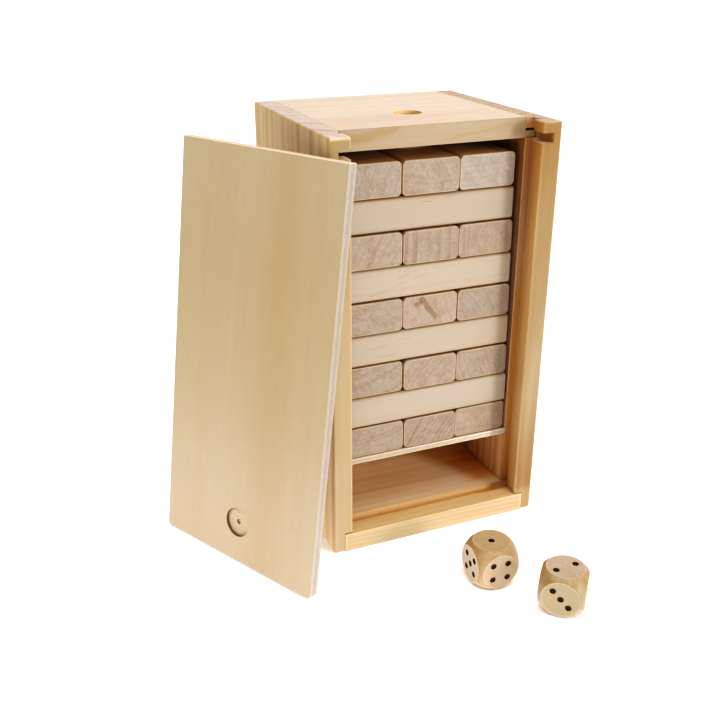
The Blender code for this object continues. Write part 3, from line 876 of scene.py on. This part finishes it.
def build_lid():
    """The lid: eased outline, and a drilled recess with a scored rim and the drill's point mark."""
    place, size, (recess_x, recess_z, recess_r, recess_depth) = lid_frame()
    bm = bmesh.new()
    turns = [step / EASE_STEPS * math.pi / 2 for step in range(EASE_STEPS + 1)]
    eased = [(LID_EASE * (1 - math.sin(turn)), LID_EASE * (1 - math.cos(turn))) for turn in turns]
    eased += [(drop, size.y - inset) for inset, drop in eased]
    outer = [ring_of(bm, lid_outline(size.x, size.z, inset), depth) for inset, depth in eased]
    bridge(bm, outer)
    bm.faces.new(outer[-1])

    # recess: radius and depth, from its rim on the face to the mark of the drill's point
    land = recess_depth - 0.00012
    profile = ((recess_r + NUDGE, 0.0), (recess_r, NUDGE), (recess_r, recess_depth - NUDGE),
               (recess_r - NUDGE, recess_depth), (recess_r - 0.0005, recess_depth),
               (recess_r - 0.0006, land), (0.0011, land), (0.0010, recess_depth),
               (0.0006, recess_depth + 0.0005), (0.0002, recess_depth + 0.0008))
    rings = [ring_of(bm, circle(recess_x, recess_z, radius, RECESS_STEPS), depth)
             for radius, depth in profile]
    bridge(bm, rings)
    bm.faces.new(rings[-1])
    rims = [edge for ring in (outer[0], rings[0]) for vert in ring for edge in vert.link_edges
            if edge.other_vert(vert) in ring]
    bmesh.ops.triangle_fill(bm, edges=list(dict.fromkeys(rims)), use_beauty=True)
    bmesh.ops.dissolve_limit(bm, angle_limit=math.radians(0.5), verts=bm.verts,
                             edges=[edge for edge in bm.edges if len(edge.link_faces) == 2
                                    and edge.calc_face_angle() < math.radians(0.1)])
    bmesh.ops.recalc_face_normals(bm, faces=bm.faces)
    edge = shade(160, 149, 139)
    # painted shade on the lid's upper part
    upper = zone((0.93, 0.90, 0.83), z=(0.02, size.z + 0.01), fade=(0.06,) * 3)
    # painted light on the lid's top edge
    painted_light_top_edge = zone((1.9, 1.8, 1.7), z=(size.z - SKIN_FADE, FAR))
    sheet = plywood("lid_plywood", "Y", "Z", 0.0, size.y, shade(177, 159, 132), shade(171, 145, 110),
                    (edge, shade(148, 138, 127), edge), 9, tone=0.25, glue_share=0.5,
                    band=(size.x * 0.68, size.x * 0.20, 0.50),
                    # the recess's wall drawn dark: painted shade in the hollow
                    recess=(recess_x, recess_z, recess_r, recess_depth, shade(182, 164, 134),
                            shade(112, 88, 60)),
                    zones=[upper, painted_light_top_edge])
    even_normals(place_piece("lid", mesh_of(bm, "lid"), sheet, place))


# ---- the dice
PIP_PATTERNS = {
    1: [(0, 0)],
    2: [(-1, -1), (1, 1)],
    3: [(-1, 1), (0, 0), (1, -1)],
    4: [(-1, -1), (1, -1), (-1, 1), (1, 1)],
    5: [(-1, -1), (1, -1), (0, 0), (-1, 1), (1, 1)],
    6: [(-1, -1), (1, -1), (-1, 0), (1, 0), (-1, 1), (1, 1)],
}
# outward direction of each face, then its directions across and up
FACES = {
    "top": ((0, 0, 1), (1, 0, 0), (0, 1, 0)),
    "bottom": ((0, 0, -1), (1, 0, 0), (0, -1, 0)),
    "front": ((0, -1, 0), (1, 0, 0), (0, 0, 1)),
    "back": ((0, 1, 0), (-1, 0, 0), (0, 0, 1)),
    "left": ((-1, 0, 0), (0, -1, 0), (0, 0, 1)),
    "right": ((1, 0, 0), (0, 1, 0), (0, 0, 1)),
}
DICE = (
    ("die_one", {"top": 1, "bottom": 6, "front": 4, "back": 3, "left": 5, "right": 2}, 11,
     shade(152, 138, 118), shade(165, 141, 111)),
    ("die_two", {"top": 2, "bottom": 5, "front": 3, "back": 4, "left": 6, "right": 1}, 12,
     shade(149, 135, 108), shade(171, 151, 131)),
)


def pip_cutter(half, values):
    """Drill tips for every pip: a flat-bottomed bore with rounded corners and a centre point."""
    bm = bmesh.new()
    # radius and depth, from above the face down to the point
    profile = ((PIP_R + NUDGE, -0.0003), (PIP_R + NUDGE, -0.00002), (PIP_R, 0.00008),
               (PIP_R - 0.00005, PIP_DEPTH * 0.7), (PIP_R - 0.00025, PIP_DEPTH),
               (0.00035, PIP_DEPTH), (0.00010, PIP_DEPTH + 0.00020))
    for face, value in values.items():
        out, across, up = (Vector(direction) for direction in FACES[face])
        for column, line in PIP_PATTERNS[value]:
            centre = out * half + (across * column + up * line) * PIP_PITCH
            rings = [[bm.verts.new(centre - out * depth + across * x + up * y)
                      for x, y in circle(0.0, 0.0, radius, PIP_SIDES)] for radius, depth in profile]
            bridge(bm, rings)
            bm.faces.new(rings[0])
            bm.faces.new(rings[-1])
    bmesh.ops.recalc_face_normals(bm, faces=bm.faces)
    return bm


def die_body(half, reach):
    """A sphere of radius reach, cut flat at half on six sides, with each flat's rim eased."""
    bm = bmesh.new()
    bmesh.ops.create_icosphere(bm, subdivisions=6, radius=reach)
    for out, _, _ in FACES.values():
        out = Vector(out)
        bmesh.ops.bisect_plane(bm, geom=bm.verts[:] + bm.edges[:] + bm.faces[:], dist=1e-7,
                               plane_co=out * half, plane_no=out, clear_outer=True)
        bmesh.ops.holes_fill(bm, edges=[edge for edge in bm.edges if edge.is_boundary])
        flat = max(bm.faces, key=lambda face: face.calc_area() * (face.normal.dot(out) > 0.99))
        rim = list(flat.verts)
        bmesh.ops.inset_region(bm, faces=[flat], thickness=RIM_EASE, use_even_offset=True)
        for vert in rim:
            vert.co -= out * RIM_EASE * RIM_DROP
            vert.co -= (vert.co - out * vert.co.dot(out)).normalized() * RIM_EASE * RIM_DRAW
    bmesh.ops.remove_doubles(bm, verts=bm.verts, dist=PLANE_TOLERANCE * 1.5)
    return bm


def drill_pips(piece, half, values, ink):
    """Cut the pips out of a die and leave them inked."""
    mesh = mesh_of(pip_cutter(half, values), "pips")
    mesh.materials.append(ink)
    cutter = link(bpy.data.objects.new("pips", mesh))
    cutter.matrix_world = piece.matrix_world
    drilling = piece.modifiers.new("pips", "BOOLEAN")
    drilling.operation = "DIFFERENCE"
    drilling.solver = "EXACT"
    drilling.material_mode = "TRANSFER"
    drilling.object = cutter
    bpy.context.view_layer.update()
    drilled = bpy.data.meshes.new_from_object(piece.evaluated_get(bpy.context.evaluated_depsgraph_get()))
    piece.modifiers.clear()
    piece.data = drilled
    bpy.data.objects.remove(cutter)
    drilled.shade_smooth()
    drilled.set_sharp_from_angle(angle=DICE_SMOOTH_ANGLE)


def build_dice():
    ink = paint("pip_paint", shade(30, 18, 14), 0.42)
    for node, values, seed, front_tone, top_tone in DICE:
        low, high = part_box(node)
        axis = Vector(joint_of(node)["axis"])
        turn = math.atan2(axis.y, axis.x)
        turn -= round(turn / (math.pi / 2)) * math.pi / 2
        centre = (low + high) / 2
        half = centre.z
        reach = max((vert.co - centre).length for vert in frame["nodes"][node].data.vertices)
        wood = solid_wood(f"dice_wood_{seed}", "Z", front_tone, shade(166, 122, 76), top_tone,
                          warm=shade(186, 150, 104), pith=(0.012, 0.031), ring=0.0017, contrast=0.30,
                          tone=0.3, seed=seed, waviness=0.0006, fibre=0.14, roughness=0.46,
                          streaks=0.30, speckle=0.12, round_off=(reach, (0.86, 0.74, 0.60)), bump=0.12)
        piece = place_piece(node, mesh_of(die_body(half, reach), node), wood,
                            Matrix.Translation(centre) @ Matrix.Rotation(turn, 4, "Z"))
        drill_pips(piece, half, values, ink)


# ---- stage
def add_light(name, kind, place, aim):
    light = link(bpy.data.objects.new(name, bpy.data.lights.new(name, kind)))
    light.location = place
    light.rotation_euler = (Vector(aim) - Vector(place)).to_track_quat("-Z", "Y").to_euler()
    return light


def build_floor():
    bpy.ops.mesh.primitive_plane_add(size=FLOOR_SIZE, location=(0.0, 0.0, -FLOOR_DROP))
    floor = bpy.context.object
    floor.name = "studio_floor"
    g = Finish("studio_paper")
    soft = g.noise(g.scaled(g.point, 3.0))
    white = g.scaled(g.joined(*(FLOOR_WHITE,) * 3), g.swing(soft, 0.01, 1.0))
    g.shader.inputs["Emission Color"].default_value = WHITE
    g.shader.inputs["Emission Strength"].default_value = TABLE_SHINE
    floor.data.materials.append(g.finish(white, 0.9, specular=0.2))


def build_sky():
    """White studio whose light grows from the walls to the ceiling."""
    world = bpy.data.worlds.new("studio")
    bpy.context.scene.world = world
    world.use_nodes = True
    tree = world.node_tree
    background = tree.nodes["Background"]
    background.inputs["Color"].default_value = WHITE
    direction = tree.nodes.new("ShaderNodeSeparateXYZ")
    tree.links.new(tree.nodes.new("ShaderNodeTexCoord").outputs["Generated"], direction.inputs[0])
    rise = tree.nodes.new("ShaderNodeMath")
    rise.operation = "POWER"
    rise.use_clamp = True
    tree.links.new(direction.outputs["Z"], rise.inputs[0])
    rise.inputs[1].default_value = SKY_POWER
    strength = tree.nodes.new("ShaderNodeMath")
    strength.operation = "MULTIPLY_ADD"
    tree.links.new(rise.outputs[0], strength.inputs[0])
    strength.inputs[1].default_value = SKY_ZENITH - SKY_HORIZON
    strength.inputs[2].default_value = SKY_HORIZON
    tree.links.new(strength.outputs[0], background.inputs["Strength"])


def build_lights():
    ceiling = add_light("ceiling", "SUN", (0.0, 0.0, 2.0), (0.0, 2.0 * math.tan(CEILING_TILT), 0.0))
    ceiling.data.energy = CEILING_SUN
    ceiling.data.angle = CEILING_SPREAD
    for name, place, aim, size, power in (
            ("key_softbox", KEY_SOFTBOX_PLACE, KEY_SOFTBOX_AIM, KEY_SOFTBOX_SIZE, KEY_SOFTBOX_POWER),
            ("low_card", LOW_CARD_PLACE, CARD_AIM, LOW_CARD_SIZE, LOW_CARD_POWER),
            ("left_card", LEFT_CARD_PLACE, CARD_AIM, LEFT_CARD_SIZE, LEFT_CARD_POWER)):
        card = add_light(name, "AREA", place, aim)
        card.data.size = size
        card.data.energy = power
    glow = add_light("table_glow", "AREA", TABLE_GLOW_PLACE, (*TABLE_GLOW_PLACE[:2], 1.0))
    glow.data.shape = "DISK"
    glow.data.size = TABLE_GLOW_SIZE
    glow.data.energy = TABLE_GLOW * math.pi * math.pi * (TABLE_GLOW_SIZE / 2) ** 2
    glow.visible_camera = False


def build_camera():
    data = bpy.data.cameras.new("camera")
    data.lens = CAMERA_LENS
    data.sensor_width = CAMERA_SENSOR
    camera = link(bpy.data.objects.new("camera", data))
    camera.location = CAMERA_PLACE
    camera.rotation_euler = (math.pi / 2 - CAMERA_DIP, 0.0, -CAMERA_AZIMUTH)
    bpy.context.scene.camera = camera
    view = bpy.context.scene.view_settings
    view.view_transform = "Standard"
    view.use_curve_mapping = True
    for channel, curve in ((3, TONE_CURVE), (0, WARM_SHADOWS), (2, COOL_LOSS)):
        for given, shown in curve:
            view.curve_mapping.curves[channel].points.new(given, shown)
    view.curve_mapping.extend = "HORIZONTAL"
    view.curve_mapping.update()


build_sides()
build_top()
build_bottom()
build_sheet("back_panel", "back_plywood", "Y", "Z", 5, shade(206, 170, 124),
            (shade(190, 158, 120), shade(168, 130, 90), shade(190, 158, 120)))
build_sheet("shelf", "shelf_plywood", "Z", "X", 6, shade(176, 146, 108),
            (shade(186, 170, 144), shade(162, 148, 130), shade(166, 150, 131)))
build_blocks()
build_lid()
build_dice()
build_floor()
build_sky()
build_lights()
build_camera()
